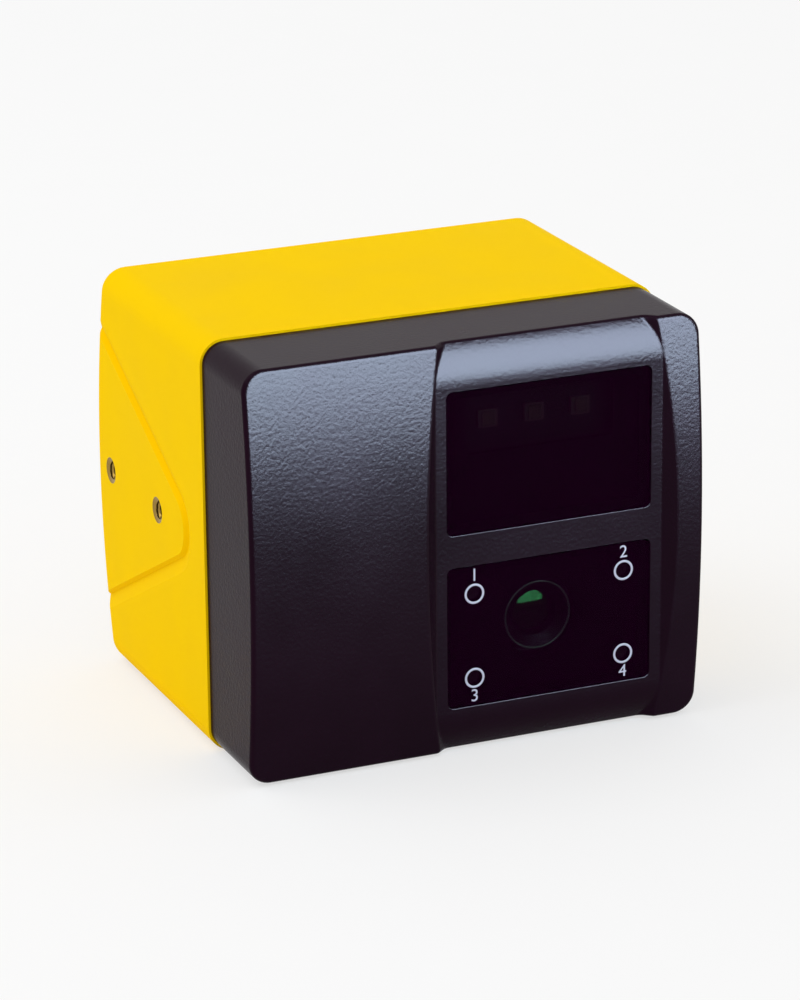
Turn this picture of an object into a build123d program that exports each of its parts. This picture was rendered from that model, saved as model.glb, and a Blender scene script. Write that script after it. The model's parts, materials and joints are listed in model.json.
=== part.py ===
from build123d import *
from math import cos, radians, sin, sqrt, tan
import os

# A compact safety camera that measures distance with infrared light. A black die-cast front cap
# carries two windows: light pulses leave through the upper one and the lens looks through the lower
# one. A yellow die-cast housing closes it from behind, has a marked-off mounting pad with two
# threaded holes on each side, and carries two round M12 connectors at its back.
# Millimetres. +X is to the right seen from the front, the front faces -Y, and it stands on Z = 0.
# The origin is at the middle of the bottom of the whole part.

# Envelope
housing_width = 80.0
housing_height = 70.0
cap_depth = 19.7
housing_depth = 51.4
connector_reach = 5.9
front_crown = 2.53
rear_crown = 4.8
corner_radius = 4.1
cap_step = 0.4
front_edge_radius = 0.8
rear_edge_radius = 2.0

# Walls and the joint between cap and housing
wall = 3.0
front_wall = 3.0
lip_length = 2.5
lip_thickness = 1.2
lip_clearance = 0.15
seal_width = 1.2
seal_thickness = 1.0

# Channel in the cap's face that holds both windows
channel_side_margin = 6.8
channel_floor_width = 40.0
channel_depth = 1.9
channel_wall_slope = 1.2
channel_foot_radius = 0.6
roll_radius = 11.0
roll_depth = 0.29
channel_wall_thickness = 3.5

# Windows and their bond
window_side_margin = 2.0
window_end_inset = 7.85
window_bar = 5.7
window_corner = 1.0
window_thickness = 1.1
window_sink = 0.15
window_gap = 0.2
bond_thickness = 0.3
bond_width = 1.5

# Mounting pads on the sides
hole_pitch = 22.5
front_hole_y = 21.7
thread_radius = 1.65
thread_depth = 6.5
thread_chamfer = 0.6
thread_end_wall = 1.5
pad_half_angle = 27.0
pad_tip_y = 9.4
pad_tip_radius = 5.3
pad_groove_depth = 0.8
pad_wall_run = 0.5
pad_ramp_run = 2.6
pad_boss_height = 10.0

# Screws that hold the housing to the cap
screw_inset = 6.6
screw_radius = 1.5
screw_clearance = 0.2
screw_head_radius = 2.75
screw_head_height = 3.0
screw_head_gap = 0.25
screw_head_sink = 1.2
screw_socket = 2.5
screw_socket_depth = 1.6
thread_engagement = 8.0
boss_radius = 4.4
boss_joint_gap = 0.2

# Circuit boards
board_side_gap = 1.0
board_end_gap = 6.0
board_thickness = 1.6
main_board_y = 13.0
power_board_y = 31.0
board_corner = 1.0

# Infrared emitters and status lights on the front board
emitter_depth = 5.5
emitter_pitch = 8.2
emitter_inset = 7.05
emitter_width = 3.4
emitter_height = 3.0
emitter_thickness = 0.75
diffuser_width = 2.1
diffuser_height = 2.4
diffuser_thickness = 0.3
package_corner = 0.2
light_inset = 4.7
light_pipe_radius = 1.3
led_size = 2.0
led_thickness = 0.8
front_board_gap = 0.05

# Lens, its holder and the image sensor
lens_depth = 4.7
lens_radius = 6.0
lens_length = 13.5
lens_wall = 0.5
lens_rim = 1.2
element_radius = 4.4
front_lens_thickness = 2.6
front_lens_curve = 9.0
rear_lens_thickness = 3.2
rear_lens_curve = 12.0
lens_gap = 2.4
holder_radius = 7.0
holder_length = 9.5
holder_base = 15.0
holder_base_height = 3.4
holder_wall = 1.2
holder_corner = 1.0
holder_clearance = 0.4
sensor_board_width = 20.0
sensor_board_height = 26.0
sensor_post_radius = 1.5
sensor_post_inset = 2.2
sensor_width = 10.0
sensor_height = 9.0
sensor_thickness = 1.7
sensor_air = 0.95
sensor_plug_width = 14.0
sensor_plug_height = 4.0
filter_thickness = 0.5

# Bezel behind the windows
bezel_gap = 0.2
bezel_thickness = 1.2
bezel_lap = 0.5
emitter_side_gap = 3.1
emitter_end_gap = 3.5
lens_opening_gap = 0.6
bezel_corner = 1.5
chimney_wall = 0.7
baffle_thickness = 2.0

# Chassis between front board and main board
chassis_thickness = 2.5
chassis_side_gap = 0.35
chassis_wing_height = 34.0
chassis_screw_inset = 4.4
chassis_screw_pitch = 24.0
chassis_post_radius = 2.6
chassis_corner = 2.0
pad_thickness = 0.5
pad_side_gap = 4.0
pad_end_gap = 2.0

# Spacers between the boards
spacer_inset = 2.4
spacer_radius = 2.2
spacer_gap = 0.6

# Processor and the bridge that takes its heat to the roof
processor_size = 17.0
processor_thickness = 1.8
bridge_side_gap = 5.0
bridge_thickness = 2.5
bridge_shelf = 12.0
bridge_overhang = 1.5
roof_pad_thickness = 0.8

# Other large pieces on the boards
controller_size = 10.0
controller_thickness = 1.4
controller_pitch = 20.0
controller_inset = 14.0
memory_size = 9.0
memory_thickness = 1.2
memory_inset = 2.5
memory_rise = 6.0
chip_corner = 0.3
stack_plug_width = 5.0
stack_plug_height = 24.0
stack_plug_inset = 3.0
plug_corner = 0.5
coil_size = 12.0
coil_height = 7.0
coil_gap = 2.0
coil_corner = 1.5
capacitor_radius = 4.0
capacitor_height = 9.0
capacitor_gap = 1.5
capacitor_chamfer = 0.4
supply_inset = 12.0

# Connectors
connector_inset = 23.0
connector_field_side = 4.5
connector_field_end = 2.5
connector_field_depth = 2.5
connector_wall = 3.5
connector_body_radius = 7.5
connector_body_tail = 1.0
connector_flange_radius = 9.5
connector_flange = 2.0
connector_chamfer = 0.5
connector_hole_clearance = 0.15
nut_radius = 9.6
nut_thickness = 3.0
nut_turn = 30.0
gasket_width = 1.0
gasket_thickness = 0.8
gasket_radius = 8.0
power_nose_radius = 6.0
power_bore_radius = 4.5
power_cup_depth = 7.4
pin_radius = 0.3
pin_reach = 6.0
outer_pin_circle = 3.45
outer_pin_count = 11
inner_pin_circle = 1.75
inner_pin_count = 5
network_nose_radius = 7.3
network_bore_radius = 5.45
network_insert_radius = 4.3
network_cup_depth = 7.4
network_insert_sink = 0.6
contact_radius = 0.75
contact_bore = 0.4
contact_pair_reach = 2.7
contact_pair_half = 0.95
shield_thickness = 0.7
shield_rim = 0.9
key_width = 1.0
key_height = 0.5
key_setback = 1.0
key_clearance = 0.1

# Derived places, from the parting plane between cap and housing
roll_angle = radians(45)
mid_z = housing_height / 2
cap_half_height = mid_z - cap_step
window_width = channel_floor_width - 2 * window_side_margin
window_height = cap_half_height - window_end_inset - window_bar / 2
window_pitch = window_height + window_bar
front_bulge_radius = (cap_half_height ** 2 + front_crown ** 2) / (2 * front_crown)
rear_bulge_radius = (mid_z ** 2 + rear_crown ** 2) / (2 * rear_crown)
parting_y = cap_depth - (cap_depth + housing_depth + connector_reach) / 2
cap_front = parting_y - cap_depth
rear_peak = parting_y + housing_depth
floor_y = cap_front + channel_depth
window_front = floor_y + window_sink
window_back = window_front + window_thickness
ledge_y = window_back + bond_thickness
channel_back = floor_y + channel_wall_thickness
upper_z = mid_z + window_pitch / 2
lower_z = mid_z - window_pitch / 2
emitter_front = window_front + emitter_depth
front_board_front = emitter_front + diffuser_thickness + emitter_thickness
front_board_back = front_board_front + board_thickness
chassis_front = front_board_back + pad_thickness
chassis_back = chassis_front + chassis_thickness
lens_front = window_front + lens_depth
lens_back = lens_front + lens_length
front_lens_front = lens_front + lens_rim
rear_lens_front = front_lens_front + front_lens_thickness + lens_gap
sensor_front = lens_back + sensor_air
sensor_board_front = sensor_front + sensor_thickness
main_front = parting_y + main_board_y
main_back = main_front + board_thickness
power_front = parting_y + power_board_y
power_back = power_front + board_thickness
inner_width = housing_width - 2 * wall
inner_height = housing_height - 2 * wall
inner_corner = corner_radius - wall / 2
field_y = rear_peak - connector_field_depth
island_y = field_y - connector_wall
nose_y = rear_peak + connector_reach
emitter_z = upper_z + window_height / 2 - emitter_inset
emitter_opening_width = 2 * (emitter_pitch + emitter_side_gap) + emitter_width
emitter_opening_height = emitter_height + 2 * emitter_end_gap
connector_x = housing_width / 2 - connector_inset
connector_field_width = 2 * (connector_x + connector_flange_radius + connector_field_side)
connector_field_height = 2 * (connector_flange_radius + connector_field_end)
lip_width = inner_width - 2 * lip_clearance
lip_height = inner_height - 2 * lip_clearance
optics_x = housing_width / 2 - cap_step - channel_side_margin - channel_floor_width / 2
roll_start = sqrt(front_bulge_radius ** 2 - (front_bulge_radius - channel_depth + roll_depth) ** 2)
screw_x = housing_width / 2 - screw_inset
screw_z = housing_height / 2 - screw_inset
board_width = 2 * (screw_x - boss_radius - board_side_gap)
board_height = inner_height - 2 * board_end_gap
spacer_x = board_width / 2 - spacer_inset
spacer_z = board_height / 2 - spacer_inset
stack_plug_end = stack_plug_inset + stack_plug_width - board_width / 2
bridge_width = -2 * (stack_plug_end + bridge_side_gap)
memory_x = board_width / 2 - memory_inset - memory_size / 2
supply_z = mid_z - board_height / 2 + supply_inset
coil_x = stack_plug_end + coil_gap + coil_size / 2
chassis_wing_width = lip_width - 2 * (lip_thickness + chassis_side_gap)
chassis_screw_x = inner_width / 2 - chassis_screw_inset
light_spacing_x = window_width - 2 * light_inset
light_spacing_z = window_height - 2 * light_inset
emitter_places = [optics_x + step * emitter_pitch for step in (-1, 0, 1)]
light_places = [(optics_x + sx * light_spacing_x / 2, lower_z + sz * light_spacing_z / 2)
                for sz in (1, -1) for sx in (-1, 1)]
screw_places = [(sx * screw_x, mid_z + sz * screw_z) for sz in (1, -1) for sx in (-1, 1)]
capacitor_places = [coil_x + coil_size / 2 + step * (capacitor_gap + 2 * capacitor_radius) - capacitor_radius
                    for step in (1, 2)]
spacer_places = [(sx * spacer_x, mid_z + sz * spacer_z) for sz in (1, -1) for sx in (-1, 1)]
beside_sensor = (spacer_x, lower_z + sensor_board_height / 2 + spacer_gap + spacer_radius)
front_spacer_places = spacer_places[:3] + [beside_sensor]
chassis_places = [(sx * chassis_screw_x, mid_z + sz * chassis_screw_pitch / 2)
                  for sz in (1, -1) for sx in (-1, 1)]
screw_seat_y = rear_peak - screw_z ** 2 / (2 * rear_bulge_radius) - screw_head_sink - screw_head_height


def facing(x, y, z):
    """Plane at that point whose sketches are seen from the front."""
    return Plane(origin=(x, y, z), x_dir=(1, 0, 0), z_dir=(0, -1, 0))


def slab(width, height, front, back, x=0.0, z=mid_z, corner=0.0):
    """Block between two depths, with rounded corners seen from the front."""
    outline = RectangleRounded(width, height, corner) if corner else Rectangle(width, height)
    return extrude(facing(x, back, z) * outline, back - front)


def rod(radius, front, back, x, z):
    """Round bar along Y."""
    return extrude(facing(x, back, z) * Circle(radius), back - front)


def tube(outer, inner, front, back, x, z):
    """Round tube along Y."""
    return rod(outer, front, back, x, z) - rod(inner, front, back, x, z)


def hexagon(across, front, back, x, z, turn=0):
    """Hexagonal bar along Y, sized by the circle inside its flats."""
    outline = RegularPolygon(across, 6, major_radius=False, rotation=turn)
    return extrude(facing(x, back, z) * outline, back - front)


def bulge(radius, peak, side):
    """Long drum about X whose nearest line to the front (side 1) or back (side -1) is at the peak."""
    return Pos(0, peak + side * radius, mid_z) * Rot(0, 90, 0) * Cylinder(radius, 2 * housing_width)


def channel_tool():
    """What the cap's face loses for the window channel: sloped sides, and ends that roll back."""
    ahead = cap_front - wall
    behind = floor_y + roll_radius
    half_width = channel_floor_width / 2
    reach = housing_height / 2 + wall
    roll_z = roll_start + roll_radius * sin(roll_angle)
    roll_y = floor_y + roll_radius * (1 - cos(roll_angle))
    far_z = roll_z + reach
    far_y = roll_y + reach * tan(roll_angle)

    def side_x(side, y):
        return optics_x + side * (half_width + channel_wall_slope * (floor_y - y))

    plan = Polyline((side_x(-1, ahead), ahead), (side_x(1, ahead), ahead),
                    (side_x(1, behind), behind), (side_x(-1, behind), behind), close=True)
    sides = Pos(0, 0, mid_z - reach) * extrude(make_face(plan), 2 * reach)
    with BuildSketch(Plane.YZ) as section:
        with BuildLine():
            low_end = (roll_y, mid_z - roll_z)
            high_end = (roll_y, mid_z + roll_z)
            RadiusArc(low_end, (floor_y, mid_z - roll_start), roll_radius)
            Line((floor_y, mid_z - roll_start), (floor_y, mid_z + roll_start))
            RadiusArc((floor_y, mid_z + roll_start), high_end, roll_radius)
            Polyline(high_end, (far_y, mid_z + far_z), (ahead, mid_z + far_z),
                     (ahead, mid_z - far_z), (far_y, mid_z - far_z), low_end)
        make_face()
    return sides & extrude(section.sketch, housing_width, both=True)


def beside_channel(edge, reach):
    """Whether the middle of an edge lies within reach of the foot of a channel side."""
    return abs(abs(edge.center().X - optics_x) - channel_floor_width / 2) < reach


def cap_body():
    """The cap's solid outer form with its channel and its rounded edges."""
    width = housing_width - 2 * cap_step
    height = housing_height - 2 * cap_step
    corner = corner_radius - cap_step
    body = slab(width, height, cap_front - 1, parting_y, corner=corner)
    body = body & bulge(front_bulge_radius, cap_front, 1)
    body = body - channel_tool()
    foot_reach = channel_wall_slope * channel_depth / 2
    feet = [edge for edge in body.edges()
            if beside_channel(edge, foot_reach) and edge.bounding_box().size.Z > roll_radius / 4
            and edge.center().Y < parting_y - cap_depth / 2]
    body = fillet(feet, channel_foot_radius)
    front_zone = cap_front + front_crown + channel_depth + front_edge_radius
    rims = []
    for edge in body.edges():
        middle, size = edge.center(), edge.bounding_box().size
        on_side = abs(abs(middle.X) - width / 2) < 0.01 and size.X < 0.01
        on_top = abs(abs(middle.Z - mid_z) - height / 2) < 0.01 and size.Z < 0.01
        at_corner = (abs(middle.X) > width / 2 - corner and abs(middle.Z - mid_z) > height / 2 - corner
                     and size.X > 0.1 and size.Z > 0.1)
        long_edge = size.Z > height * 0.9 and size.X > 0.1
        if middle.Y < front_zone and (on_side or on_top or at_corner or long_edge):
            rims.append(edge)
    return fillet(rims, front_edge_radius)


def front_cap():
    """Black cap: shell, window seats, posts for the chassis, screw bosses and locating lip."""
    cap = cap_body()
    cavity = slab(inner_width, inner_height, cap_front, parting_y, corner=inner_corner)
    cavity = cavity & bulge(front_bulge_radius, cap_front + front_wall, 1)
    block_width = channel_floor_width + 2 * channel_wall_thickness
    cavity -= slab(block_width, housing_height, cap_front, channel_back, x=optics_x)
    cap -= cavity
    lip_end = parting_y + lip_length
    lip = slab(lip_width, lip_height, parting_y - lip_length, lip_end, corner=inner_corner - lip_clearance)
    lip -= slab(lip_width - 2 * lip_thickness, lip_height - 2 * lip_thickness,
                parting_y - lip_length, lip_end, corner=inner_corner - lip_clearance - lip_thickness)
    cap += lip
    envelope = slab(lip_width, lip_height, cap_front + front_wall, lip_end,
                    corner=inner_corner - lip_clearance)
    for x, z in screw_places:
        cap += rod(boss_radius, cap_front + front_wall, lip_end, x, z) & envelope
    for x, z in chassis_places:
        cap += rod(chassis_post_radius, cap_front + front_wall, chassis_front, x, z)
    for x, z in screw_places:
        cap -= rod(screw_radius, lip_end - thread_engagement, lip_end, x, z)
    for x, z in chassis_places:
        cap -= rod(screw_radius, chassis_front - thread_engagement / 2, chassis_front, x, z)
    for z in (upper_z, lower_z):
        cap -= slab(window_width + 2 * window_gap, window_height + 2 * window_gap, cap_front, ledge_y,
                    x=optics_x, z=z, corner=window_corner + window_gap)
        cap -= slab(window_width - 2 * bond_width, window_height - 2 * bond_width, cap_front,
                    channel_back + front_wall, x=optics_x, z=z, corner=window_corner)
    return cap


def window(z):
    """Dark pane that passes infrared light, seated just under the channel floor."""
    return slab(window_width, window_height, window_front, window_back, x=optics_x, z=z, corner=window_corner)


def window_bond(z):
    """Adhesive frame between a pane and its ledge."""
    frame = slab(window_width, window_height, window_back, ledge_y, x=optics_x, z=z, corner=window_corner)
    return frame - slab(window_width - 2 * bond_width, window_height - 2 * bond_width, window_back, ledge_y,
                        x=optics_x, z=z, corner=window_corner)


def pad_outline(offset):
    """Mounting pad seen from the side: a wedge that opens to the rear, grown by an offset."""
    slope = tan(radians(pad_half_angle))
    spread = sqrt(1 + slope ** 2)
    apex = parting_y + pad_tip_y - pad_tip_radius * (spread / slope - 1)
    tip = apex - offset * spread / slope
    far = rear_peak + wall
    half_height = (far - tip) * slope
    return FilletPolyline((far, mid_z + half_height), (tip, mid_z), (far, mid_z - half_height),
                          radius=pad_tip_radius + offset)


def pad_face(offset, x):
    """That outline as a face on a plane across X."""
    path = pad_outline(offset)
    closed = path + Line(path @ 1, path @ 0)
    return Plane(origin=(x, 0, 0), x_dir=(0, 1, 0), z_dir=(1, 0, 0)) * make_face(closed)


def pad_groove(side):
    """Groove round a mounting pad: a steep wall at the pad and a shallow ramp outside it."""
    face_x = side * housing_width / 2
    foot_x = side * (housing_width / 2 - pad_groove_depth)
    clear_x = side * (housing_width / 2 + pad_groove_depth)
    outer_run = pad_wall_run + pad_ramp_run
    outside = loft([pad_face(pad_wall_run, foot_x), pad_face(outer_run, face_x)], ruled=True)
    outside += loft([pad_face(outer_run, face_x), pad_face(outer_run + pad_ramp_run, clear_x)], ruled=True)
    inside = loft([pad_face(pad_wall_run, foot_x), pad_face(0.0, face_x)], ruled=True)
    inside += loft([pad_face(0.0, face_x), pad_face(-pad_wall_run, clear_x)], ruled=True)
    return outside - inside


def housing_shell():
    """Yellow housing's outer form and cavity, open to the front."""
    body = slab(housing_width, housing_height, parting_y, rear_peak + 1, corner=corner_radius)
    body = body & bulge(rear_bulge_radius, rear_peak, -1)
    rear_edges = [edge for edge in body.edges() if edge.center().Y > parting_y + housing_depth * 0.8]
    body = fillet(rear_edges, rear_edge_radius)
    cavity = slab(inner_width, inner_height, parting_y, rear_peak, corner=inner_corner)
    cavity = cavity & bulge(rear_bulge_radius, rear_peak - wall, -1)
    cavity -= slab(connector_field_width + 2 * wall, connector_field_height + 2 * wall, island_y, rear_peak)
    return body, cavity


def rear_housing():
    """Yellow housing with its pads, bosses, screw columns, seal groove and connector field."""
    body, cavity = housing_shell()
    columns_front = parting_y + lip_length + boss_joint_gap
    for x, z in screw_places:
        cavity -= rod(boss_radius, columns_front, rear_peak, x, z)
    boss_run = 2 * (hole_pitch / 2 + pad_boss_height / 2)
    boss_depth = thread_depth + thread_end_wall - wall
    boss_mid = parting_y + front_hole_y + hole_pitch / 2
    for side in (-1, 1):
        cavity -= Pos(side * (inner_width / 2 - boss_depth / 2), boss_mid, mid_z) * Box(
            boss_depth, boss_run, pad_boss_height)
    body -= cavity
    body -= seal_ring()
    body -= slab(connector_field_width, connector_field_height, field_y, rear_peak + 1, corner=wall)
    for side in (-1, 1):
        body -= pad_groove(side)
        body -= side_threads(side)
        body -= rod(connector_body_radius + connector_hole_clearance, island_y - 1, rear_peak,
                    side * connector_x, mid_z)
    for x, z in screw_places:
        body -= rod(screw_radius + screw_clearance, columns_front - 1, rear_peak, x, z)
        body -= rod(screw_head_radius + screw_head_gap, screw_seat_y, rear_peak + 1, x, z)
    return body


def side_threads(side):
    """The two blind threaded holes of one mounting pad, with a chamfer at each mouth."""
    face_x = side * housing_width / 2
    holes = None
    for y in (parting_y + front_hole_y, parting_y + front_hole_y + hole_pitch):
        across = Plane(origin=(face_x, y, mid_z), x_dir=(0, 1, 0), z_dir=(-side, 0, 0))
        hole = extrude(across * Circle(thread_radius), thread_depth)
        mouth = Cone(thread_radius + thread_chamfer, thread_radius, thread_chamfer,
                     align=(Align.CENTER, Align.CENTER, Align.MIN))
        hole += across * mouth
        holes = hole if holes is None else holes + hole
    return holes


def seal_ring():
    """Seal along the middle of the housing's front rim, level with the rim when closed."""
    width = housing_width - wall + seal_width
    height = housing_height - wall + seal_width
    radius = corner_radius - wall / 2 + seal_width / 2
    ring = slab(width, height, parting_y, parting_y + seal_thickness, corner=radius)
    return ring - slab(width - 2 * seal_width, height - 2 * seal_width, parting_y,
                       parting_y + seal_thickness, corner=radius - seal_width)


def housing_screw(x, z):
    """Socket-head screw from the rear, through a column into the cap's boss."""
    tip = parting_y + lip_length - thread_engagement
    head_back = screw_seat_y + screw_head_height
    screw = rod(screw_radius, tip, screw_seat_y, x, z)
    screw += rod(screw_head_radius, screw_seat_y, head_back, x, z)
    return screw - hexagon(screw_socket / 2, head_back - screw_socket_depth, head_back, x, z)


def board(front, width, height, x=0.0, z=mid_z):
    """Bare circuit board with rounded corners."""
    return slab(width, height, front, front + board_thickness, x=x, z=z, corner=board_corner)


def front_board():
    """Board behind the windows: emitters above, status lights round a hole for the lens below."""
    plate = board(front_board_front, board_width, board_height)
    return plate - rod(holder_radius + holder_clearance, front_board_front, front_board_back,
                       optics_x, lower_z)


def emitter(x):
    """Infrared laser package."""
    front = front_board_front - emitter_thickness
    return slab(emitter_width, emitter_height, front, front_board_front, x=x, z=emitter_z,
                corner=package_corner)


def diffuser(x):
    """Small glass plate on an emitter that spreads its light over the field of view."""
    return slab(diffuser_width, diffuser_height, emitter_front, emitter_front + diffuser_thickness,
                x=x, z=emitter_z)


def status_led(x, z):
    """Status light chip on the front board."""
    return slab(led_size, led_size, front_board_front - led_thickness, front_board_front, x=x, z=z,
                corner=package_corner)


def light_pipe(x, z):
    """Clear rod from a status light to the back of the lower window."""
    return rod(light_pipe_radius, window_back + front_board_gap,
               front_board_front - led_thickness - front_board_gap, x, z)


def bezel():
    """Black moulding that keeps emitter light away from the lens and holds the light pipes."""
    front = channel_back + bezel_gap
    back = front + bezel_thickness
    width = window_width - 2 * bond_width + 2 * bezel_lap
    height = window_pitch + window_height - 2 * bond_width + 2 * bezel_lap
    plate = slab(width, height, front, back, x=optics_x, corner=bezel_corner)
    plate -= slab(emitter_opening_width, emitter_opening_height, front, back, x=optics_x, z=emitter_z,
                  corner=window_corner)
    plate += slab(width, baffle_thickness, back, front_board_front - front_board_gap, x=optics_x)
    for x, z in light_places:
        plate += rod(light_pipe_radius + chimney_wall, ledge_y, front_board_front - led_thickness, x, z)
    for x, z in light_places:
        plate -= rod(light_pipe_radius + front_board_gap, ledge_y, front_board_front, x, z)
    return plate - rod(lens_radius + lens_opening_gap, front, back, optics_x, lower_z)


def front_board_pad():
    """Heat-conducting pad between the front board and the chassis, behind the emitters."""
    return slab(board_width - 2 * pad_side_gap, window_height - 2 * pad_end_gap, front_board_back,
                chassis_front, z=upper_z)


def chassis():
    """Cast plate that carries the front board, the spacers and, on posts behind it, the sensor board."""
    plate = slab(board_width, board_height, chassis_front, chassis_back, corner=board_corner)
    plate += slab(chassis_wing_width, chassis_wing_height, chassis_front, chassis_back, corner=chassis_corner)
    plate += slab(sensor_board_width, sensor_board_height, chassis_front, chassis_back, x=optics_x, z=lower_z,
                  corner=board_corner)
    plate -= rod(holder_radius + holder_clearance, chassis_front, chassis_back, optics_x, lower_z)
    for sx in (-1, 1):
        for sz in (-1, 1):
            x = optics_x + sx * (sensor_board_width / 2 - sensor_post_inset)
            z = lower_z + sz * (sensor_board_height / 2 - sensor_post_inset)
            plate += rod(sensor_post_radius, chassis_back, sensor_board_front, x, z)
    for x, z in chassis_places:
        plate -= rod(screw_radius + screw_clearance, chassis_front, chassis_back, x, z)
    return plate


def chassis_screw(x, z):
    """Short screw from the chassis into a post of the cap."""
    tip = chassis_front - thread_engagement / 2
    head_back = chassis_back + screw_head_height / 2
    screw = rod(screw_radius, tip, chassis_back, x, z) + rod(screw_head_radius, chassis_back, head_back, x, z)
    return screw - hexagon(screw_socket / 2, head_back - screw_socket_depth / 2, head_back, x, z)


def lens_holder():
    """Threaded holder that stands on the sensor board and closes over the image sensor."""
    base_front = sensor_board_front - holder_base_height
    holder = slab(holder_base, holder_base, base_front, sensor_board_front, x=optics_x, z=lower_z,
                  corner=holder_corner)
    holder += rod(holder_radius, base_front - holder_length, base_front, optics_x, lower_z)
    room = holder_base - 2 * holder_wall
    holder -= slab(room, room, lens_back + filter_thickness, sensor_board_front, x=optics_x, z=lower_z)
    return holder - rod(lens_radius, base_front - holder_length, sensor_board_front, optics_x, lower_z)


def lens_barrel():
    """Screwed lens barrel with a stepped bore and a wider mouth that narrows to the front glass."""
    barrel = rod(lens_radius, lens_front, lens_back, optics_x, lower_z)
    barrel -= rod(element_radius, lens_front + lens_rim, lens_back, optics_x, lower_z)
    mouth = Pos(optics_x, lens_front, lower_z) * Rot(-90, 0, 0) * Cone(
        lens_radius - lens_wall, element_radius - lens_wall, lens_rim,
        align=(Align.CENTER, Align.CENTER, Align.MIN))
    return barrel - mouth


def lens_element(front, thickness, front_curve):
    """Glass element of the barrel's bore with a crowned front."""
    glass = rod(element_radius, front, front + thickness, optics_x, lower_z)
    crown = Pos(optics_x, front + front_curve, lower_z) * Sphere(front_curve)
    return glass & crown


def infrared_filter():
    """Filter disc at the barrel's back end."""
    return rod(element_radius, lens_back - filter_thickness, lens_back, optics_x, lower_z)


def lens_spacer():
    """Thin ring that keeps the two lens elements apart."""
    return tube(element_radius, element_radius - lens_wall, rear_lens_front - lens_gap, rear_lens_front,
                optics_x, lower_z)


def image_sensor():
    """Image sensor package."""
    return slab(sensor_width, sensor_height, sensor_front, sensor_board_front, x=optics_x, z=lower_z,
                corner=chip_corner)


def sensor_board():
    """Small board of the image sensor."""
    return board(sensor_board_front, sensor_board_width, sensor_board_height, x=optics_x, z=lower_z)


def sensor_connector():
    """Stacking connector between sensor board and main board."""
    return slab(sensor_plug_width, sensor_plug_height, sensor_board_front + board_thickness, main_front,
                x=optics_x, z=lower_z, corner=plug_corner)


def main_board():
    """Board with the processor and the two safety controllers."""
    return board(main_front, board_width, board_height)


def chip(width, front, back, x, z):
    """Flat square chip package."""
    return slab(width, width, front, back, x=x, z=z, corner=chip_corner)


def spacer(x, z, front, back):
    """Hexagonal spacer between two boards."""
    return hexagon(spacer_radius, front, back, x, z)


def heat_bridge():
    """Angle that carries the processor's heat to the housing's roof."""
    front = main_back + processor_thickness
    back = front + bridge_thickness
    top = housing_height - wall - roof_pad_thickness
    low = mid_z - processor_size / 2 - bridge_overhang
    plate = slab(bridge_width, top - low, front, back, z=(top + low) / 2)
    shelf = slab(bridge_width, bridge_thickness, front, back + bridge_shelf, z=top - bridge_thickness / 2)
    return plate + shelf


def roof_pad():
    """Heat-conducting pad between the bridge and the roof."""
    front = main_back + processor_thickness
    top = housing_height - wall
    return slab(bridge_width, roof_pad_thickness, front, front + bridge_thickness + bridge_shelf,
                z=top - roof_pad_thickness / 2)


def power_board():
    """Rear board: supply, switching outputs and the connectors' contacts."""
    return board(power_front, board_width, board_height)


def stack_connector():
    """Stacking connector between main board and power board."""
    return slab(stack_plug_width, stack_plug_height, main_back, power_front,
                x=stack_plug_end - stack_plug_width / 2, corner=plug_corner)


def coil():
    """Choke of the power supply."""
    return slab(coil_size, coil_size, power_front - coil_height, power_front, x=coil_x, z=supply_z,
                corner=coil_corner)


def capacitor(x):
    """Round capacitor lying along Y on the rear board."""
    can = rod(capacitor_radius, power_front - capacitor_height, power_front, x, supply_z)
    return chamfer(can.edges().group_by(Axis.Y)[0], capacitor_chamfer)


def connector_shell(x, nose_radius, bore_radius):
    """Turned shell: nose, flange on the housing's field, and a body through its wall."""
    inner_end = island_y - nut_thickness - connector_body_tail
    shell = rod(nose_radius, field_y, nose_y, x, mid_z)
    shell = chamfer(shell.edges().group_by(Axis.Y)[-1], connector_chamfer)
    shell += rod(connector_flange_radius, field_y, field_y + connector_flange, x, mid_z)
    shell += rod(connector_body_radius, inner_end, field_y, x, mid_z)
    shell -= connector_gasket(x)
    return shell - rod(bore_radius, inner_end, nose_y, x, mid_z)


def connector_gasket(x):
    """Sealing ring in the flange's groove, pressed against the housing's field."""
    return tube(gasket_radius + gasket_width, gasket_radius, field_y, field_y + gasket_thickness, x, mid_z)


def connector_nut(x):
    """Hexagonal nut, flats to the sides, that draws the shell against the inside of the wall."""
    front = island_y - nut_thickness
    return hexagon(nut_radius, front, island_y, x, mid_z, nut_turn) - rod(
        connector_body_radius, front, island_y, x, mid_z)


def pin_places():
    """Places of the power connector's pins: one in the middle and two rings."""
    places = [(0.0, 0.0)]
    for circle, count in ((inner_pin_circle, inner_pin_count), (outer_pin_circle, outer_pin_count)):
        places += [(spot.position.X, spot.position.Y) for spot in PolarLocations(circle, count)]
    return [(x - connector_x, mid_z + z) for x, z in places]


def power_insert():
    """Plastic body that holds the pins at the bottom of the power connector's cup, with the coding rib that
    stands along the cup's wall."""
    floor = nose_y - power_cup_depth
    body = rod(power_bore_radius, power_back, floor, -connector_x, mid_z) - power_pin_holes()
    rib = tube(power_bore_radius, power_bore_radius - key_height, floor, nose_y - key_setback,
               -connector_x, mid_z)
    rib &= slab(key_width, 2 * power_bore_radius, floor, nose_y, x=-connector_x, z=mid_z + power_bore_radius)
    return body + rib


def power_pin_holes():
    """Round ways for the pins through the insert."""
    ways = [rod(pin_radius, power_back, nose_y, x, z) for x, z in pin_places()]
    return Compound(children=ways)


def power_pins():
    """Contact pins from the rear board to just inside the connector's mouth."""
    back = nose_y - power_cup_depth + pin_reach
    return Compound(children=[rod(pin_radius, power_back, back, x, z) for x, z in pin_places()])


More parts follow.
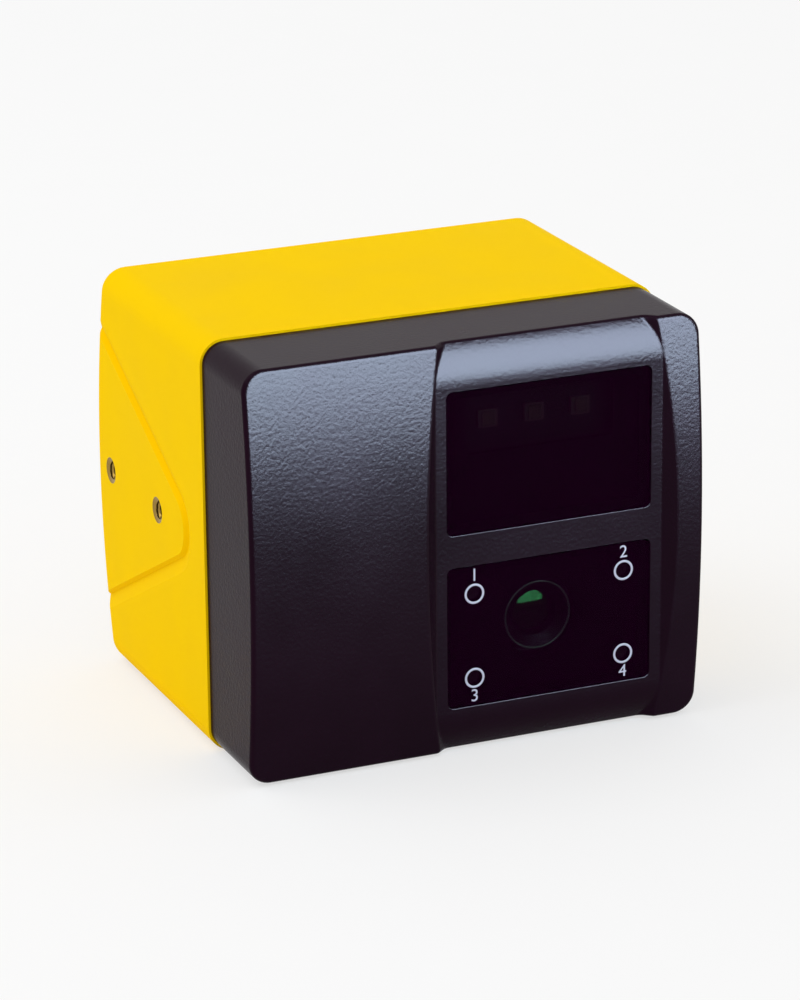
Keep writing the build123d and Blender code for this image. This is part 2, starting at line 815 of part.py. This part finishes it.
def contact_places():
    """Places of the network connector's contacts: a pair in each quarter."""
    places = []
    for turn in (0, 90, 180, 270):
        for side in (-1, 1):
            spot = Vector(contact_pair_reach, side * contact_pair_half, 0).rotate(Axis.Z, turn + 45)
            places.append((connector_x + spot.X, mid_z + spot.Y))
    return places


def network_shield():
    """Metal cross that screens the four contact pairs from each other."""
    back = nose_y - network_insert_sink
    length = 2 * (network_insert_radius - shield_rim)
    cross = slab(length, shield_thickness, power_back, back, x=connector_x)
    return cross + slab(shield_thickness, length, power_back, back, x=connector_x)


def network_contacts():
    """Socket contacts of the network connector."""
    back = nose_y - network_insert_sink
    sockets = [tube(contact_radius, contact_bore, power_back, back, x, z) for x, z in contact_places()]
    return Compound(children=sockets)


def network_insert():
    """Plastic body of the network connector, with a collar that seats it in the shell and a coding slot."""
    back = nose_y - network_insert_sink
    collar_back = nose_y - network_cup_depth
    body = rod(network_insert_radius, power_back, back, connector_x, mid_z)
    body -= slab(key_width + 2 * key_clearance, 2 * key_height, collar_back, back, x=connector_x,
                 z=mid_z + network_insert_radius)
    body += rod(network_bore_radius, power_back, collar_back, connector_x, mid_z)
    for x, z in contact_places():
        body -= rod(contact_radius, power_back, back, x, z)
    return body - network_shield()


def build_nodes():
    """Every piece of the camera under its node name."""
    nodes = {
        "front_cap": front_cap(),
        "rear_housing": rear_housing(),
        "housing_seal": seal_ring(),
        "illuminator_window": window(upper_z),
        "lens_window": window(lower_z),
        "window_bonds": Compound(children=[window_bond(upper_z), window_bond(lower_z)]),
        "window_bezel": bezel(),
        "front_board": front_board(),
        "front_board_pad": front_board_pad(),
        "chassis": chassis(),
        "lens_barrel": lens_barrel(),
        "front_lens": lens_element(front_lens_front, front_lens_thickness, front_lens_curve),
        "lens_spacer": lens_spacer(),
        "rear_lens": lens_element(rear_lens_front, rear_lens_thickness, rear_lens_curve),
        "infrared_filter": infrared_filter(),
        "lens_holder": lens_holder(),
        "image_sensor": image_sensor(),
        "sensor_board": sensor_board(),
        "sensor_connector": sensor_connector(),
        "main_board": main_board(),
        "processor": chip(processor_size, main_back, main_back + processor_thickness, 0, mid_z),
        "memory": chip(memory_size, main_back, main_back + memory_thickness, memory_x, mid_z + memory_rise),
        "heat_bridge": heat_bridge(),
        "roof_pad": roof_pad(),
        "power_board": power_board(),
        "stack_connector": stack_connector(),
        "supply_coil": coil(),
        "power_connector_shell": connector_shell(-connector_x, power_nose_radius, power_bore_radius),
        "power_connector_gasket": connector_gasket(-connector_x),
        "power_connector_nut": connector_nut(-connector_x),
        "power_connector_insert": power_insert(),
        "power_connector_pins": power_pins(),
        "network_connector_shell": connector_shell(connector_x, network_nose_radius, network_bore_radius),
        "network_connector_gasket": connector_gasket(connector_x),
        "network_connector_nut": connector_nut(connector_x),
        "network_connector_insert": network_insert(),
        "network_connector_shield": network_shield(),
        "network_connector_contacts": network_contacts(),
    }
    for number, x in enumerate(emitter_places, 1):
        nodes[f"emitter_{number}"] = emitter(x)
    for number, (x, z) in enumerate(light_places, 1):
        nodes[f"status_led_{number}"] = status_led(x, z)
        nodes[f"light_pipe_{number}"] = light_pipe(x, z)
    for number, (x, z) in enumerate(screw_places, 1):
        nodes[f"housing_screw_{number}"] = housing_screw(x, z)
    for number, side in enumerate((-1, 1), 1):
        nodes[f"safety_controller_{number}"] = chip(
            controller_size, main_front - controller_thickness, main_front,
            controller_inset - board_width / 2, mid_z + side * controller_pitch / 2)
    nodes["diffusers"] = Compound(children=[diffuser(x) for x in emitter_places])
    nodes["supply_capacitors"] = Compound(children=[capacitor(x) for x in capacitor_places])
    nodes["chassis_screws"] = Compound(children=[chassis_screw(x, z) for x, z in chassis_places])
    nodes["front_spacers"] = Compound(
        children=[spacer(x, z, chassis_back, main_front) for x, z in front_spacer_places])
    nodes["rear_spacers"] = Compound(
        children=[spacer(x, z, main_back, power_front) for x, z in spacer_places])
    return nodes


os.makedirs("parts", exist_ok=True)
for name, shape in build_nodes().items():
    export_step(shape, f"parts/{name}.step")
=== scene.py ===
import json
import math

import bpy
from mathutils import Matrix, Vector


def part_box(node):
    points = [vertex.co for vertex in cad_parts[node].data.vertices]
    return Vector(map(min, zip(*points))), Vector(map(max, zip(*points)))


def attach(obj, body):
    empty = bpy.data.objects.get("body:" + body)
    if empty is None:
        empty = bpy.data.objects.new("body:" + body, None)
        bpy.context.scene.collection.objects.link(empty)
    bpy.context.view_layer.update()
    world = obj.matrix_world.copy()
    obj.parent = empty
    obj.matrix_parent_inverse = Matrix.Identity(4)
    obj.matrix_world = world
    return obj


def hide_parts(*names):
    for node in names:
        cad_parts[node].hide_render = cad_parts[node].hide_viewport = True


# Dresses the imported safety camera: materials on its solids, coating beads round the window seats, ring marks and
# numbers on the lower window, a bright rim on the lens barrel, threads on the connectors and in the side holes,
# then the floor, the lights and the camera. Metres throughout.

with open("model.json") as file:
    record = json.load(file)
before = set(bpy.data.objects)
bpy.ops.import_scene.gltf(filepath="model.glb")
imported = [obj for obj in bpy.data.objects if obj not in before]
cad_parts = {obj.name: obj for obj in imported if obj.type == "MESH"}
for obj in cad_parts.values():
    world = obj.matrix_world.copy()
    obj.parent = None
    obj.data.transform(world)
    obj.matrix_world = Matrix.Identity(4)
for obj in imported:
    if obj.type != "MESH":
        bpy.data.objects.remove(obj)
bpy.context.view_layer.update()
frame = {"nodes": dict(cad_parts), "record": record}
MM = 0.001

# Camera, solved from the photograph's corners and edges
CAMERA_PLACE = Vector((-0.269354, -0.636373, 0.270640))
CAMERA_YAW = math.radians(23.11056)
CAMERA_PITCH = math.radians(19.06289)
CAMERA_ROLL = math.radians(-0.55648)
CAMERA_FOCAL_PIXELS = 4361.333
PICTURE_LONG_SIDE = 1000
SENSOR = 36.0

# Light. The softbox shows only in reflections.
WORLD_LIGHT = 0.83
SOFTBOX_PLACE = Vector((0.1, -0.25, 0.162))
SOFTBOX_FACES = Vector((0, 1, 0))
SOFTBOX_SIZE = (0.26, 0.258)
SOFTBOX_POWER = 27.2
SOFTBOX_COLOR = (0.62, 0.816, 1.0)
TOP_LAMP_PLACE = Vector((-0.6, 0.1, 0.935))
TOP_LAMP_TARGET = Vector((0, 0, 0.035))
TOP_LAMP_SIZE = (0.8, 0.8)
TOP_LAMP_POWER = 3.0

# Floor
FLOOR_REACH = 4.0
FLOOR_DROP = 0.01 * MM
FLOOR_WHITE = 0.6

# Cloud that varies each material's colour and roughness
CLOUD_SCALE = 60.0
CLOUD_LOW = 0.3
CLOUD_HIGH = 0.7

# Steps of the meshes
TURN_STEPS = 96
CORNER_STEPS = 8
BEAD_STEPS = 6
THREAD_STEPS = 10
LEAD_STEPS = 8
SHARP_ANGLE = math.radians(35)

# Coating beads round the window seats. The fade is the share that they lose along the top.
SEAT_GAP = 0.2 * MM
SEAT_SINK = 0.15 * MM
SEAT_CORNER = 1.2 * MM
BEAD_RADIUS = 0.14 * MM
BEAD_FADE = 0.85

# Ring marks on the lower window
RING_RADIUS = 1.73 * MM
RING_LINE = 0.38 * MM
RING_THICKNESS = 0.02 * MM
RING_INSET = 4.7 * MM

# Numbers beside the ring marks. Half a digit's height is a share of its size.
DIGIT_SIZE = 3.0 * MM
DIGIT_HALF = 0.35
DIGIT_GAP = 0.35 * MM

# Bright edge of the lens barrel
RIM_WIDTH = 0.5 * MM
RIM_EDGE = 0.12 * MM

# Connector shells and their threads
M12_PITCH = 1.0 * MM
M12_THREAD_DEPTH = 0.5 * MM
SHELL_CHAMFER = 0.5 * MM
FLANGE_EDGE = 0.3 * MM
FLANGE_THICKNESS = 2.0 * MM
GASKET_WIDTH = 1.0 * MM
CUP_DEPTH = 7.4 * MM

# Threads of the side holes, and the holes' places along the depth
M4_PITCH = 0.7 * MM
M4_DEPTH = 0.2 * MM
M4_CREST_INSET = 0.03 * MM
M4_RADIUS = 1.65 * MM
M4_CHAMFER = 0.6 * MM
M4_LEAD = 0.1 * MM
M4_START = math.radians(190)
M4_LENGTH = 6.4 * MM
SIDE_HOLES = (2.9 * MM, 25.4 * MM)


def corners(node):
    """Lowest and highest corner of a node as vectors."""
    low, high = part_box(node)
    return Vector(low), Vector(high)


# Materials

def surface(name, color, roughness, specular=0.5, metallic=0.0, alpha=1.0, grain_size=0.6 * MM,
            grain_height=0.01 * MM, tone=0.06, rough_spread=0.05):
    """Principled material whose colour and roughness vary a little, with a fine bump of its own size."""
    material = bpy.data.materials.new(name)
    material.use_nodes = True
    nodes, links = material.node_tree.nodes, material.node_tree.links
    shader = nodes["Principled BSDF"]
    shader.inputs["Metallic"].default_value = metallic
    shader.inputs["Specular IOR Level"].default_value = specular
    shader.inputs["Alpha"].default_value = alpha
    place = nodes.new("ShaderNodeTexCoord")
    cloud = nodes.new("ShaderNodeTexNoise")
    cloud.inputs["Scale"].default_value = CLOUD_SCALE
    cloud.inputs["Detail"].default_value = 3.0
    links.new(place.outputs["Object"], cloud.inputs["Vector"])
    shades = nodes.new("ShaderNodeMapRange")
    shades.inputs["From Min"].default_value = CLOUD_LOW
    shades.inputs["From Max"].default_value = CLOUD_HIGH
    shades.inputs["To Min"].default_value = 1.0 - tone
    shades.inputs["To Max"].default_value = 1.0 + tone
    links.new(cloud.outputs["Fac"], shades.inputs["Value"])
    tint = nodes.new("ShaderNodeVectorMath")
    tint.operation = "SCALE"
    tint.inputs[0].default_value = color
    links.new(shades.outputs["Result"], tint.inputs["Scale"])
    links.new(tint.outputs["Vector"], shader.inputs["Base Color"])
    gloss = nodes.new("ShaderNodeMapRange")
    gloss.inputs["From Min"].default_value = CLOUD_LOW
    gloss.inputs["From Max"].default_value = CLOUD_HIGH
    gloss.inputs["To Min"].default_value = roughness - rough_spread
    gloss.inputs["To Max"].default_value = roughness + rough_spread
    links.new(cloud.outputs["Fac"], gloss.inputs["Value"])
    links.new(gloss.outputs["Result"], shader.inputs["Roughness"])
    if grain_height:
        grain = nodes.new("ShaderNodeTexNoise")
        grain.inputs["Scale"].default_value = 1.0 / grain_size
        grain.inputs["Detail"].default_value = 2.0
        links.new(place.outputs["Object"], grain.inputs["Vector"])
        bump = nodes.new("ShaderNodeBump")
        bump.inputs["Strength"].default_value = 1.0
        bump.inputs["Distance"].default_value = grain_height
        links.new(grain.outputs["Fac"], bump.inputs["Height"])
        links.new(bump.outputs["Normal"], shader.inputs["Normal"])
    return material


MATERIALS = {
    "cap_coating": surface("cap_coating", (0.0092, 0.0003, 0.0063), 0.26, specular=0.045,
                           grain_size=0.58 * MM, grain_height=0.044 * MM, tone=0.12, rough_spread=0.02),
    "housing_coating": surface("housing_coating", (0.95, 0.605, 0.0), 0.6, specular=0.01,
                               grain_size=0.5 * MM, grain_height=0.01 * MM, tone=0.012),
    "window_pane": surface("window_pane", (0.0085, 0.0, 0.0068), 0.06, specular=0.012, alpha=0.76,
                           grain_size=4.0 * MM, grain_height=0.0004 * MM, rough_spread=0.01),
    "adhesive": surface("adhesive", (0.002, 0.002, 0.002), 0.8, specular=0.02),
    "seal_rubber": surface("seal_rubber", (0.012, 0.012, 0.012), 0.7, grain_size=0.2 * MM),
    "black_moulding": surface("black_moulding", (0.006, 0.006, 0.006), 0.7, specular=0.03,
                              grain_size=0.15 * MM),
    "circuit_board": surface("circuit_board", (0.008, 0.012, 0.01), 0.4, specular=0.2, grain_size=0.3 * MM),
    "chip_package": surface("chip_package", (0.02, 0.02, 0.022), 0.5, grain_size=0.1 * MM),
    "thermal_pad": surface("thermal_pad", (0.3, 0.36, 0.42), 0.7, grain_size=0.4 * MM),
    "cast_aluminium": surface("cast_aluminium", (0.6, 0.61, 0.62), 0.42, metallic=1.0, grain_size=0.4 * MM),
    "black_anodised": surface("black_anodised", (0.02, 0.02, 0.022), 0.35, metallic=0.5, grain_size=0.1 * MM),
    "optical_glass": surface("optical_glass", (0.05, 0.3, 0.085), 0.1, metallic=1.0,
                             grain_size=3.0 * MM, grain_height=0.002 * MM, rough_spread=0.01),
    "clear_moulding": surface("clear_moulding", (0.75, 0.78, 0.82), 0.15, alpha=0.7, grain_size=0.4 * MM),
    "light_package": surface("light_package", (0.8, 0.8, 0.75), 0.3, grain_size=0.1 * MM),
    "emitter_package": surface("emitter_package", (0.8, 0.55, 0.45), 0.4, grain_size=0.1 * MM),
    "steel_screw": surface("steel_screw", (0.5, 0.5, 0.51), 0.3, metallic=1.0, grain_size=0.15 * MM),
    "spacer_brass": surface("spacer_brass", (0.7, 0.62, 0.45), 0.3, metallic=1.0, grain_size=0.15 * MM),
    "nickel_plating": surface("nickel_plating", (0.66, 0.63, 0.58), 0.24, metallic=1.0, grain_size=0.3 * MM,
                              grain_height=0.003 * MM),
    "gold_contact": surface("gold_contact", (0.83, 0.6, 0.22), 0.2, metallic=1.0, grain_size=0.2 * MM,
                            grain_height=0.002 * MM),
    "ferrite": surface("ferrite", (0.06, 0.06, 0.065), 0.6, grain_size=0.15 * MM),
    "capacitor_can": surface("capacitor_can", (0.65, 0.65, 0.67), 0.25, metallic=1.0, grain_size=0.2 * MM),
}
WINDOW_PRINT = surface("window_print", (0.52, 0.545, 0.69), 0.6, specular=0.1, grain_size=0.1 * MM,
                       grain_height=0.002 * MM)
LENSLET_GLASS = surface("lenslet_glass", (0.17, 0.11, 0.085), 0.35, metallic=1.0, grain_size=0.1 * MM,
                        grain_height=0.004 * MM)
RIM_METAL = surface("rim_metal", (0.3, 0.38, 0.3), 0.5, metallic=0.6, grain_size=0.1 * MM)
BARE_METAL = surface("bare_thread", (0.33, 0.21, 0.05), 0.3, metallic=1.0, grain_size=0.1 * MM)


def dress_solids():
    """Gives every CAD node the material of its slot, and the diffusers the lenslet glass in place of theirs."""
    for entry in frame["record"]["subparts"]:
        solid = frame["nodes"][entry["node"]]
        material = LENSLET_GLASS if entry["node"] == "diffusers" else MATERIALS[entry["material_slot"]]
        for place in range(len(solid.material_slots)):
            solid.material_slots[place].link = "OBJECT"
            solid.material_slots[place].material = material


# Pieces

def add_piece(name, mesh, material):
    """Links a mesh as a piece of the object, riding on its only body."""
    piece = bpy.data.objects.new(name, mesh)
    bpy.context.scene.collection.objects.link(piece)
    piece.data.materials.append(material)
    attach(piece, "root")
    return piece


def mesh_of(name, points, faces):
    """Smooth-shaded mesh of these points and faces."""
    mesh = bpy.data.meshes.new(name)
    mesh.from_pydata(points, [], faces)
    mesh.validate()
    for face in mesh.polygons:
        face.use_smooth = True
    return mesh


def ring_faces(rows, size):
    """Faces between the rows of a closed ring, where each row is a closed loop of that many points."""
    faces = []
    for row in range(rows):
        here, there = row * size, (row + 1) % rows * size
        for spot in range(size):
            after = (spot + 1) % size
            faces.append((here + spot, here + after, there + after, there + spot))
    return faces


def turns(axis, across):
    """Angles round an axis, each with the direction that it points in, from the across direction on."""
    other = axis.cross(across)
    angles = [2 * math.pi * step / TURN_STEPS for step in range(TURN_STEPS)]
    return [(angle, across * math.cos(angle) + other * math.sin(angle)) for angle in angles]


def lathe(name, profile, centre, axis):
    """Closed ring of revolution about an axis through a centre. The profile is (radius, along) pairs."""
    axis = Vector(axis)
    points = []
    for _, out in turns(axis, axis.orthogonal().normalized()):
        points += [tuple(centre + out * radius + axis * along) for radius, along in profile]
    return mesh_of(name, points, ring_faces(TURN_STEPS, len(profile)))


def seat_beads():
    """Rounded bead where the coating gathers along the edge of each window seat, inside its gap. It is thin along
    the top, as where wet coating runs down."""
    for name, node in (("upper", "illuminator_window"), ("lower", "lens_window")):
        low, high = corners(node)
        floor = low.y - SEAT_SINK
        half_x, half_z = (high.x - low.x) / 2 + SEAT_GAP, (high.z - low.z) / 2 + SEAT_GAP
        centre = Vector(((low.x + high.x) / 2, floor, (low.z + high.z) / 2))
        rows = []
        for quarter, (sx, sz) in enumerate(((1, 1), (-1, 1), (-1, -1), (1, -1))):
            corner = centre + Vector((sx * (half_x - SEAT_CORNER), 0, sz * (half_z - SEAT_CORNER)))
            for step in range(CORNER_STEPS + 1):
                turn = math.radians(90 * quarter + 90 * step / CORNER_STEPS)
                rows.append((corner, Vector((math.cos(turn), 0, math.sin(turn)))))
        round_over = [math.radians(90 / BEAD_STEPS * step) for step in range(BEAD_STEPS + 1)]
        profile = [(BEAD_RADIUS * math.sin(angle), BEAD_RADIUS * (1 - math.cos(angle))) for angle in round_over]
        profile.append((0, BEAD_RADIUS))
        points = []
        for corner, out in rows:
            share = 1.0 - BEAD_FADE * max(0.0, out.z)
            for inward, sink in profile:
                points.append(tuple(corner + out * (SEAT_CORNER - inward * share) + Vector((0, sink * share, 0))))
        faces = [face[::-1] for face in ring_faces(len(rows), len(profile))]
        add_piece(f"{name}_seat_bead", mesh_of(f"{name}_seat_bead", points, faces), MATERIALS["cap_coating"])


def light_spots():
    """Centres of the four status lights on the lower window's front, by row and column."""
    low, high = corners("lens_window")
    columns = (low.x + RING_INSET, high.x - RING_INSET)
    rows = (high.z - RING_INSET, low.z + RING_INSET)
    return [(Vector((x, low.y, z)), 1 if row == 0 else -1) for row, z in enumerate(rows) for x in columns]


def ring_marks():
    """Four thin printed rings on the lower window, one round each status light."""
    inner = RING_RADIUS - RING_LINE
    for number, (spot, _) in enumerate(light_spots(), 1):
        profile = [(RING_RADIUS, 0), (RING_RADIUS, -RING_THICKNESS), (inner, -RING_THICKNESS), (inner, 0)]
        mesh = lathe(f"ring_mark_{number}", profile, spot, (0, 1, 0))
        add_piece(f"ring_mark_{number}", mesh, WINDOW_PRINT)


def ring_numbers():
    """A plain number above each upper ring and below each lower one."""
    for number, (spot, side) in enumerate(light_spots(), 1):
        curve = bpy.data.curves.new(f"number_shape_{number}", "FONT")
        curve.body = str(number)
        curve.size = DIGIT_SIZE
        curve.align_x = "CENTER"
        curve.align_y = "CENTER"
        curve.extrude = RING_THICKNESS / 2
        shape = bpy.data.objects.new(f"number_shape_{number}", curve)
        bpy.context.scene.collection.objects.link(shape)
        bpy.context.view_layer.update()
        mesh = bpy.data.meshes.new_from_object(shape.evaluated_get(bpy.context.evaluated_depsgraph_get()))
        bpy.data.objects.remove(shape)
        rise = side * (RING_RADIUS + DIGIT_GAP + DIGIT_SIZE * DIGIT_HALF)
        upright = Matrix.Rotation(math.radians(90), 4, "X")
        mesh.transform(Matrix.Translation(spot + Vector((0, -RING_THICKNESS / 2, rise))) @ upright)
        mesh.materials.clear()
        add_piece(f"ring_number_{number}", mesh, WINDOW_PRINT)


def barrel_rim():
    """Turned bright edge on the front of the lens barrel."""
    low, high = corners("lens_barrel")
    centre = Vector(((low.x + high.x) / 2, low.y, (low.z + high.z) / 2))
    outer = (high.x - low.x) / 2
    inner = outer - RIM_WIDTH
    profile = [(outer, 0), (outer - RIM_EDGE, -RIM_EDGE), (inner + RIM_EDGE, -RIM_EDGE), (inner, 0)]
    add_piece("lens_barrel_rim", lathe("lens_barrel_rim", profile, centre, (0, 1, 0)), RIM_METAL)


def thread_wave(turn, along, pitch):
    """0 at a thread's crest and 1 at its root."""
    phase = (along / pitch - turn / (2 * math.pi)) % 1.0
    return 1.0 - abs(2.0 * phase - 1.0)


def threaded_lathe(name, profile, centre, axis, pitch, depth, first):
    """Closed turned body. The profile is (radius, along, thread) triples, where thread is the share of the
    depth that the thread takes there, outwards if it is negative. The thread starts at the first direction.
    The profile's outside runs against the axis, so that the faces look outwards."""
    axis = Vector(axis)
    points = []
    for turn, out in turns(axis, Vector(first)):
        for radius, along, thread in profile:
            cut = thread * depth * thread_wave(turn, along, pitch)
            points.append(tuple(centre + out * (radius - cut) + axis * along))
    mesh = mesh_of(name, points, ring_faces(TURN_STEPS, len(profile)))
    mesh.set_sharp_from_angle(angle=SHARP_ANGLE)
    return mesh


def threaded_stretch(radius, start, end, pitch, share, fade_in=True):
    """Profile points along a thread that fades out over half a pitch at its end, and in at its start too if
    fade_in is set."""
    count = round(abs(end - start) / pitch * THREAD_STEPS)
    rows = []
    for step in range(count + 1):
        along = start + (end - start) * step / count
        room = min(abs(along - start), abs(end - along)) if fade_in else abs(end - along)
        rows.append((radius, along, share * min(1.0, 2 * room / pitch)))
    return rows


def connector_shells():
    """Turned shells with their threads, in place of the plain ones: outside on the power connector, inside on
    the network connector."""
    nodes = frame["nodes"]
    for name, thread_outside in (("power_connector", True), ("network_connector", False)):
        low, high = corners(f"{name}_shell")
        gasket_low, gasket_high = corners(f"{name}_gasket")
        _, nut_high = corners(f"{name}_nut")
        insert_low, insert_high = corners(f"{name}_insert")
        centre = Vector(((low.x + high.x) / 2, 0, (low.z + high.z) / 2))
        flange = (high.x - low.x) / 2
        bore = (insert_high.x - insert_low.x) / 2
        nose = turned_radius(nodes[f"{name}_shell"], centre, high.y - 2 * SHELL_CHAMFER, bore)
        body = turned_radius(nodes[f"{name}_shell"], centre, (nut_high.y + gasket_low.y) / 2, bore)
        back = gasket_low.y + FLANGE_THICKNESS
        groove = ((gasket_high.x - gasket_low.x) / 2, gasket_high.y)
        inner_groove = groove[0] - GASKET_WIDTH
        if thread_outside:
            outer_share, inner_share, cup, mouth = 1.0, 0.0, insert_high.y, bore
        else:
            outer_share, inner_share, cup, mouth = 0.0, -1.0, high.y - CUP_DEPTH, bore + M12_THREAD_DEPTH
        outside = threaded_stretch(nose, back + SHELL_CHAMFER, high.y - SHELL_CHAMFER, M12_PITCH, outer_share)
        inside = threaded_stretch(bore, high.y - SHELL_CHAMFER, cup, M12_PITCH, inner_share)
        profile = [(body, low.y, 0), (body, gasket_low.y, 0), (inner_groove, gasket_low.y, 0),
                   (inner_groove, groove[1], 0), (groove[0], groove[1], 0), (groove[0], gasket_low.y, 0),
                   (flange - FLANGE_EDGE, gasket_low.y, 0), (flange, gasket_low.y + FLANGE_EDGE, 0),
                   (flange, back - FLANGE_EDGE, 0), (flange - FLANGE_EDGE, back, 0), (nose, back, 0)]
        profile += outside
        profile += [(nose - SHELL_CHAMFER, high.y, 0), (mouth, high.y, 0)]
        profile += inside
        profile += [(bore, low.y, 0)]
        profile.reverse()
        mesh = threaded_lathe(f"{name}_threaded", profile, centre, (0, 1, 0), M12_PITCH, M12_THREAD_DEPTH,
                              (1, 0, 0))
        shell = add_piece(f"{name}_threaded_shell", mesh, MATERIALS["nickel_plating"])
        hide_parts(f"{name}_shell")


def turned_radius(solid, centre, depth, least):
    """Radius of a turned solid's outside near a depth along Y, from its own outline."""
    radii = []
    for edge in solid.data.edges:
        first, second = (solid.data.vertices[index].co for index in edge.vertices)
        if min(first.y, second.y) <= depth <= max(first.y, second.y):
            radii.append(math.hypot(first.x - centre.x, first.z - centre.z))
    return max([radius for radius in radii if radius > least + M12_THREAD_DEPTH / 2])


def side_threads():
    """Bare metal threads inside the four side holes, with the bare countersinks that lead into them."""
    low, high = corners("rear_housing")
    for number, (side, y) in enumerate([(side, y) for side in (-1, 1) for y in SIDE_HOLES], 1):
        centre = Vector((side * high.x, y, (low.z + high.z) / 2))
        start, end = M4_CHAMFER, M4_LENGTH
        root = M4_RADIUS - M4_CREST_INSET
        crest = root - M4_DEPTH
        profile = [(M4_RADIUS - M4_CREST_INSET / 2, end, 0), (M4_RADIUS - M4_CREST_INSET / 2, start, 0),
                   (M4_RADIUS + M4_CHAMFER - M4_CREST_INSET / 2, 0, 0)]
        for step in range(LEAD_STEPS):
            along = start * step / LEAD_STEPS
            cone = root + start - along
            stands = (cone - crest) * max(0.0, min(1.0, (along - M4_LEAD) / M4_LEAD))
            profile.append((cone - stands, along, -stands / M4_DEPTH))
        profile += threaded_stretch(crest, start, end, M4_PITCH, -1.0, fade_in=False)
        first = (0, math.cos(M4_START), side * math.sin(M4_START))
        mesh = threaded_lathe(f"side_thread_{number}", profile, centre, (-side, 0, 0), M4_PITCH, M4_DEPTH, first)
        add_piece(f"side_thread_{number}", mesh, BARE_METAL)


# Stage, light and camera

def seen_rays(nodes, links):
    """1 for camera, glossy and transmitted rays, and 0 for the rest."""
    path = nodes.new("ShaderNodeLightPath")
    first = nodes.new("ShaderNodeMath")
    first.operation = "ADD"
    links.new(path.outputs["Is Camera Ray"], first.inputs[0])
    links.new(path.outputs["Is Glossy Ray"], first.inputs[1])
    second = nodes.new("ShaderNodeMath")
    second.operation = "ADD"
    second.use_clamp = True
    links.new(first.outputs["Value"], second.inputs[0])
    links.new(path.outputs["Is Transmission Ray"], second.inputs[1])
    return second.outputs["Value"]


def stage_floor():
    """Wide pale floor, partly plain white to the rays that are seen, so that it still keeps the shadow."""
    points = [(x * FLOOR_REACH, y * FLOOR_REACH, -FLOOR_DROP) for x, y in ((-1, -1), (1, -1), (1, 1), (-1, 1))]
    mesh = mesh_of("floor", points, [(0, 1, 2, 3)])
    floor = bpy.data.objects.new("floor", mesh)
    bpy.context.scene.collection.objects.link(floor)
    material = surface("floor_paint", (0.9, 0.9, 0.9), 0.9, specular=0.0, tone=0.004,
                       grain_size=3 * MM, grain_height=0.0)
    nodes, links = material.node_tree.nodes, material.node_tree.links
    white = nodes.new("ShaderNodeEmission")
    share = nodes.new("ShaderNodeMath")
    share.operation = "MULTIPLY"
    share.inputs[1].default_value = FLOOR_WHITE
    links.new(seen_rays(nodes, links), share.inputs[0])
    blend = nodes.new("ShaderNodeMixShader")
    links.new(share.outputs["Value"], blend.inputs["Fac"])
    links.new(nodes["Principled BSDF"].outputs["BSDF"], blend.inputs[1])
    links.new(white.outputs["Emission"], blend.inputs[2])
    links.new(blend.outputs["Shader"], nodes["Material Output"].inputs["Surface"])
    floor.data.materials.append(material)


def add_lamp(name, place, target, size, power, color=(1, 1, 1), only_reflected=False):
    """Area lamp that faces a point and isn't seen by the camera, or shows only in reflections."""
    data = bpy.data.lights.new(name, "AREA")
    data.shape = "RECTANGLE"
    data.size, data.size_y = size
    data.energy = power
    data.color = color
    lamp = bpy.data.objects.new(name, data)
    lamp.location = place
    lamp.rotation_euler = (target - place).to_track_quat("-Z", "Y").to_euler()
    lamp.visible_camera = False
    lamp.visible_diffuse = not only_reflected
    bpy.context.scene.collection.objects.link(lamp)
    return lamp


def light_scene():
    """World, a top lamp, and a softbox that leaves the housing out, where it would only glare from behind."""
    world = bpy.data.worlds.new("studio")
    world.use_nodes = True
    nodes, links = world.node_tree.nodes, world.node_tree.links
    sky = nodes["Background"]
    sky.inputs["Color"].default_value = (1, 1, 1, 1)
    level = nodes.new("ShaderNodeMapRange")
    level.inputs["To Min"].default_value = WORLD_LIGHT
    level.inputs["To Max"].default_value = 1.0
    links.new(seen_rays(nodes, links), level.inputs["Value"])
    links.new(level.outputs["Result"], sky.inputs["Strength"])
    bpy.context.scene.world = world
    softbox = add_lamp("front_softbox", SOFTBOX_PLACE, SOFTBOX_PLACE + SOFTBOX_FACES, SOFTBOX_SIZE, SOFTBOX_POWER,
                       SOFTBOX_COLOR, only_reflected=True)
    unlit = bpy.data.collections.new("not_lit_by_softbox")
    unlit.objects.link(frame["nodes"]["rear_housing"])
    unlit.collection_objects[0].light_linking.link_state = "EXCLUDE"
    softbox.light_linking.receiver_collection = unlit
    add_lamp("top_left", TOP_LAMP_PLACE, TOP_LAMP_TARGET, TOP_LAMP_SIZE, TOP_LAMP_POWER)


def place_camera():
    """Camera at the photograph's place, turn, tilt and roll."""
    back = Vector((-math.sin(CAMERA_YAW) * math.cos(CAMERA_PITCH), -math.cos(CAMERA_YAW) * math.cos(CAMERA_PITCH),
                   math.sin(CAMERA_PITCH)))
    right = Vector((0, 0, 1)).cross(back).normalized()
    up = back.cross(right)
    tilted_right = right * math.cos(CAMERA_ROLL) + up * math.sin(CAMERA_ROLL)
    tilted_up = up * math.cos(CAMERA_ROLL) - right * math.sin(CAMERA_ROLL)
    data = bpy.data.cameras.new("camera")
    data.sensor_width = SENSOR
    data.lens = CAMERA_FOCAL_PIXELS * SENSOR / PICTURE_LONG_SIDE
    data.clip_start = 0.01
    data.clip_end = 50.0
    camera = bpy.data.objects.new("camera", data)
    turned = Matrix((tilted_right, tilted_up, back)).transposed()
    camera.matrix_world = Matrix.Translation(CAMERA_PLACE) @ turned.to_4x4()
    bpy.context.scene.collection.objects.link(camera)
    bpy.context.scene.camera = camera


dress_solids()
seat_beads()
ring_marks()
ring_numbers()
barrel_rim()
connector_shells()
side_threads()
stage_floor()
light_scene()
place_camera()
bpy.context.scene.view_settings.view_transform = "Standard"
